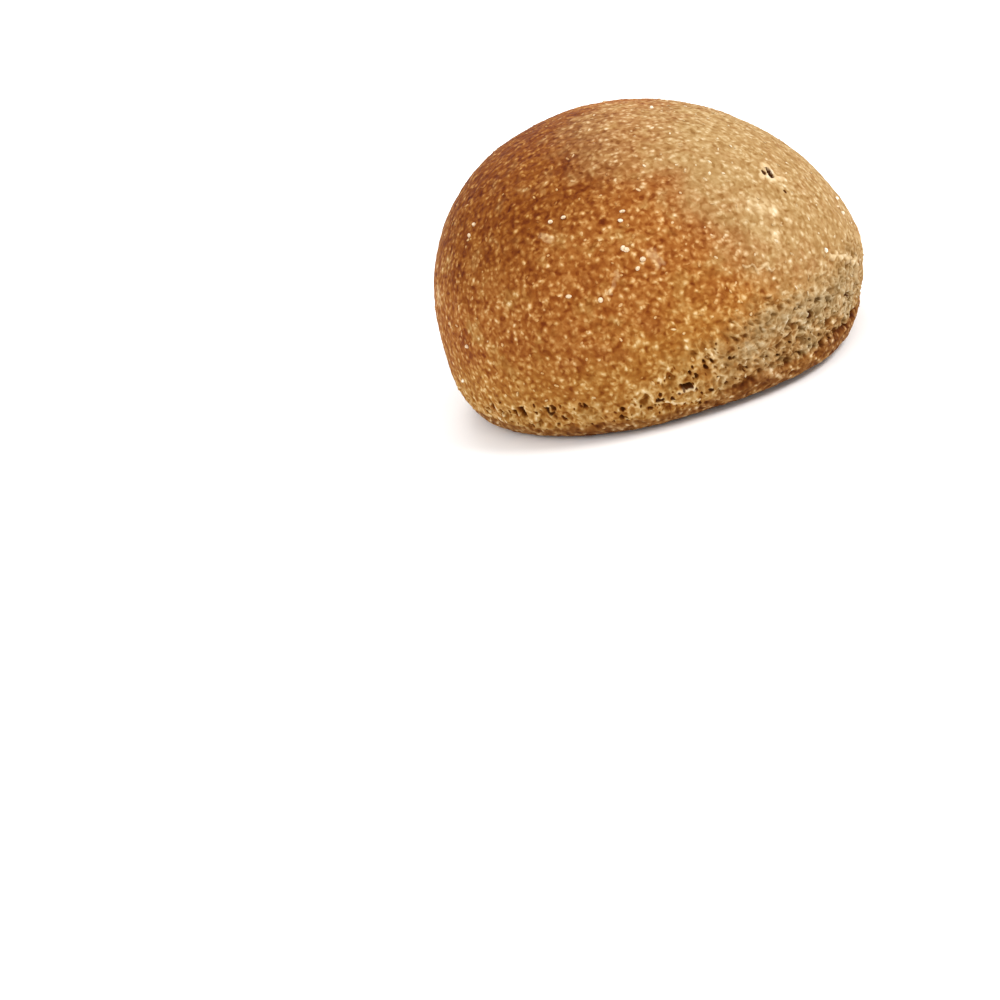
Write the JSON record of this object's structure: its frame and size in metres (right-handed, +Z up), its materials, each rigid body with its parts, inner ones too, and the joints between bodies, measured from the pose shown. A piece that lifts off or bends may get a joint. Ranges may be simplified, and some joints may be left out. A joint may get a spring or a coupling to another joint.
{
  "type": "bread roll",
  "caption": "Round wholemeal bread roll, a domed crust with bran flecks and a porous rim above a flat baked foot that it rests on.",
  "frame": {"origin": "middle of the roll's outline seen from above, on the surface that it stands on", "axes": "+Z up through the crown, +X along the roll's longest width and to the right of its most finished side, +Y to the back"},
  "size_m": [0.095, 0.091, 0.0585],
  "materials": {
    "crust": "dry, matte wholemeal crust, orange brown, flecked with pale bran"
  },
  "bodies": {
    "root": {"bread_roll": "crust"}
  },
  "joints": []
}
